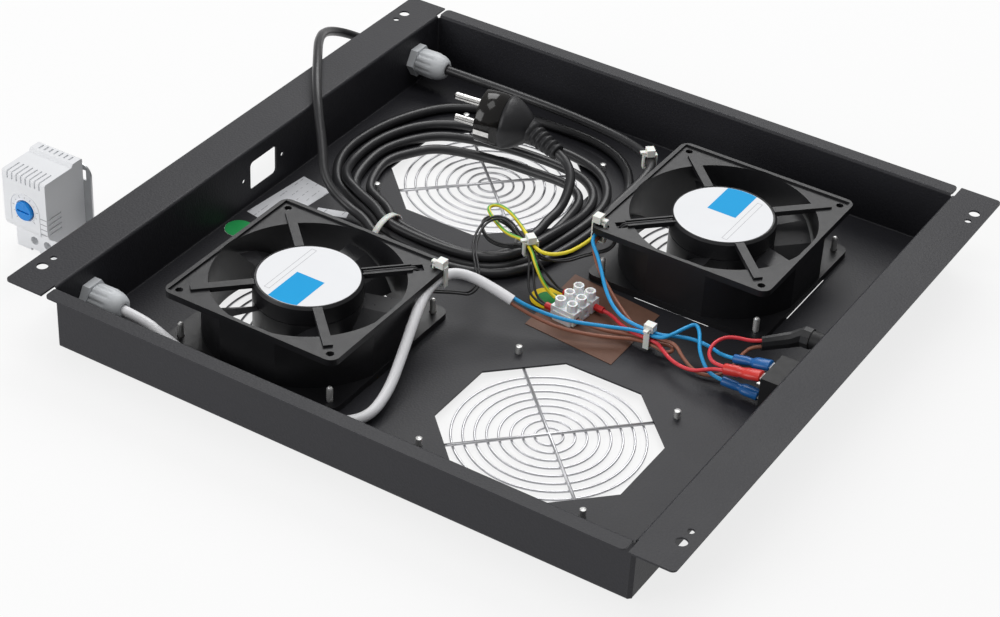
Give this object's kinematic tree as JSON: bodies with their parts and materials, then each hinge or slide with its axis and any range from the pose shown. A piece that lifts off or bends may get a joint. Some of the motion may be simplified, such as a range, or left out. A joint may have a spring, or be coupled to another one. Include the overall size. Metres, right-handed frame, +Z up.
{
  "type": "rack fan tray",
  "caption": "Black folded steel rack fan tray with axial fans, wire finger guards, inner wiring, mains lead with moulded plug, rocker switch and a cabinet thermostat on its lead.",
  "frame": {"origin": "centre of the four large flange holes, on the underside of the side flanges", "axes": "+X along the front wall to the switch wall, +Y to the back, +Z up"},
  "size_m": [0.504, 0.4168, 0.062],
  "materials": {
    "tray_paint": "fine matt textured powder coat",
    "guard_steel": "dark painted wire",
    "screw_steel": "zinc plated",
    "fan_plastic": "moulded, slightly grained",
    "impeller_plastic": "moulded",
    "core_steel": "laminated steel and copper winding",
    "shaft_steel": "ground",
    "bush_bronze": "sintered bronze",
    "label_film": "printed film",
    "earth_film": "printed film",
    "gland_plastic": "moulded nylon",
    "seal_rubber": "soft rubber",
    "black_cord": "smooth PVC jacket",
    "white_cord": "smooth PVC jacket",
    "tie_nylon": "natural nylon",
    "plug_rubber": "moulded PVC",
    "plug_metal": "nickel plated",
    "thermostat_plastic": "light grey moulding",
    "knob_plastic": "blue moulding",
    "zinc_plate": "zinc plated",
    "zinc_screw": "zinc plated",
    "clear_nylon": "milky nylon",
    "block_brass": "plated brass",
    "ferrule_plastic": "moulded collar",
    "insulating_board": "brown pressed board",
    "switch_plastic": "moulded",
    "rocker_plastic": "moulded",
    "terminal_brass": "tinned brass",
    "blue_sleeve": "nylon sleeve",
    "red_sleeve": "nylon sleeve",
    "holder_plastic": "moulded phenolic",
    "fuse_glass": "clear tube with metal ends",
    "shrink_tube": "shrunk polyolefin",
    "blue_core": "PVC insulation",
    "brown_core": "PVC insulation",
    "red_core": "PVC insulation",
    "earth_core": "PVC insulation, green stripe",
    "lead_core": "PVC insulation"
  },
  "bodies": {
    "tray_assembly": {"back_gland_body": "gland_plastic", "back_gland_dome_nut": "gland_plastic", "blue_connectors": "blue_sleeve", "blue_wires": "blue_core", "brown_wires": "brown_core", "cable_ties": "tie_nylon", "coil_tie": "tie_nylon", "earth_sticker": "earth_film", "earth_wire": "earth_core", "fan_labels": "label_film", "fan_screws": "screw_steel", "ferrules": "ferrule_plastic", "finger_guard_back_left": "guard_steel", "finger_guard_back_right": "guard_steel", "finger_guard_front_left": "guard_steel", "finger_guard_front_right": "guard_steel", "floor_labels": "label_film", "front_fan_bearing": "bush_bronze", "front_fan_frame": "fan_plastic", "front_fan_leads": "lead_core", "front_fan_stator": "core_steel", "front_gland_body": "gland_plastic", "front_gland_dome_nut": "gland_plastic", "fuse_holder": "holder_plastic", "gland_lock_nuts": "gland_plastic", "gland_seals": "seal_rubber", "guard_screws": "screw_steel", "heat_shrink_sleeve": "shrink_tube", "inner_mains_lead": "black_cord", "insulating_sheet": "insulating_board", "mains_cord": "black_cord", "mains_cord_coil": "black_cord", "plug_body": "plug_rubber", "plug_pins": "plug_metal", "rear_fan_bearing": "bush_bronze", "rear_fan_frame": "fan_plastic", "rear_fan_leads": "lead_core", "rear_fan_stator": "core_steel", "red_connector": "red_sleeve", "red_wires": "red_core", "switch_body": "switch_plastic", "switch_terminals": "terminal_brass", "terminal_block": "clear_nylon", "terminal_screws": "block_brass", "thermostat_bracket": "zinc_plate", "thermostat_cord": "white_cord", "thermostat_housing": "thermostat_plastic", "thermostat_lead": "white_cord", "thermostat_terminals": "zinc_screw", "tray": "tray_paint"},
    "front_impeller": {"front_fan_rotor": "impeller_plastic", "front_fan_shaft": "shaft_steel"},
    "rear_impeller": {"rear_fan_rotor": "impeller_plastic", "rear_fan_shaft": "shaft_steel"},
    "rocker": {"switch_rocker": "rocker_plastic"},
    "dial": {"thermostat_knob": "knob_plastic"},
    "fuse_carrier": {"fuse_cap": "holder_plastic", "fuse_link": "fuse_glass"}
  },
  "joints": [
    {"name": "front_impeller_spin", "type": "hinge", "parent": "tray_assembly", "child": "front_impeller", "pos_m": [-0.0815, -0.1032, -0.0198], "axis": [0, 0, 1], "continuous": true},
    {"name": "rear_impeller_spin", "type": "hinge", "parent": "tray_assembly", "child": "rear_impeller", "pos_m": [0.0835, 0.0972, -0.0198], "axis": [0, 0, 1], "continuous": true},
    {"name": "rocker_tilt", "type": "hinge", "parent": "tray_assembly", "child": "rocker", "pos_m": [0.189, -0.0065, -0.0256], "axis": [0, 0, 1], "range_deg": [0, 18]},
    {"name": "dial_turn", "type": "hinge", "parent": "tray_assembly", "child": "dial", "pos_m": [-0.264, -0.138, -0.0077], "axis": [0, -1, 0], "range_deg": [0, 270]},
    {"name": "fuse_cap_turn", "type": "hinge", "parent": "tray_assembly", "child": "fuse_carrier", "pos_m": [0.19, 0.037, -0.0198], "axis": [1, 0, 0], "range_deg": [0, 90]}
  ]
}
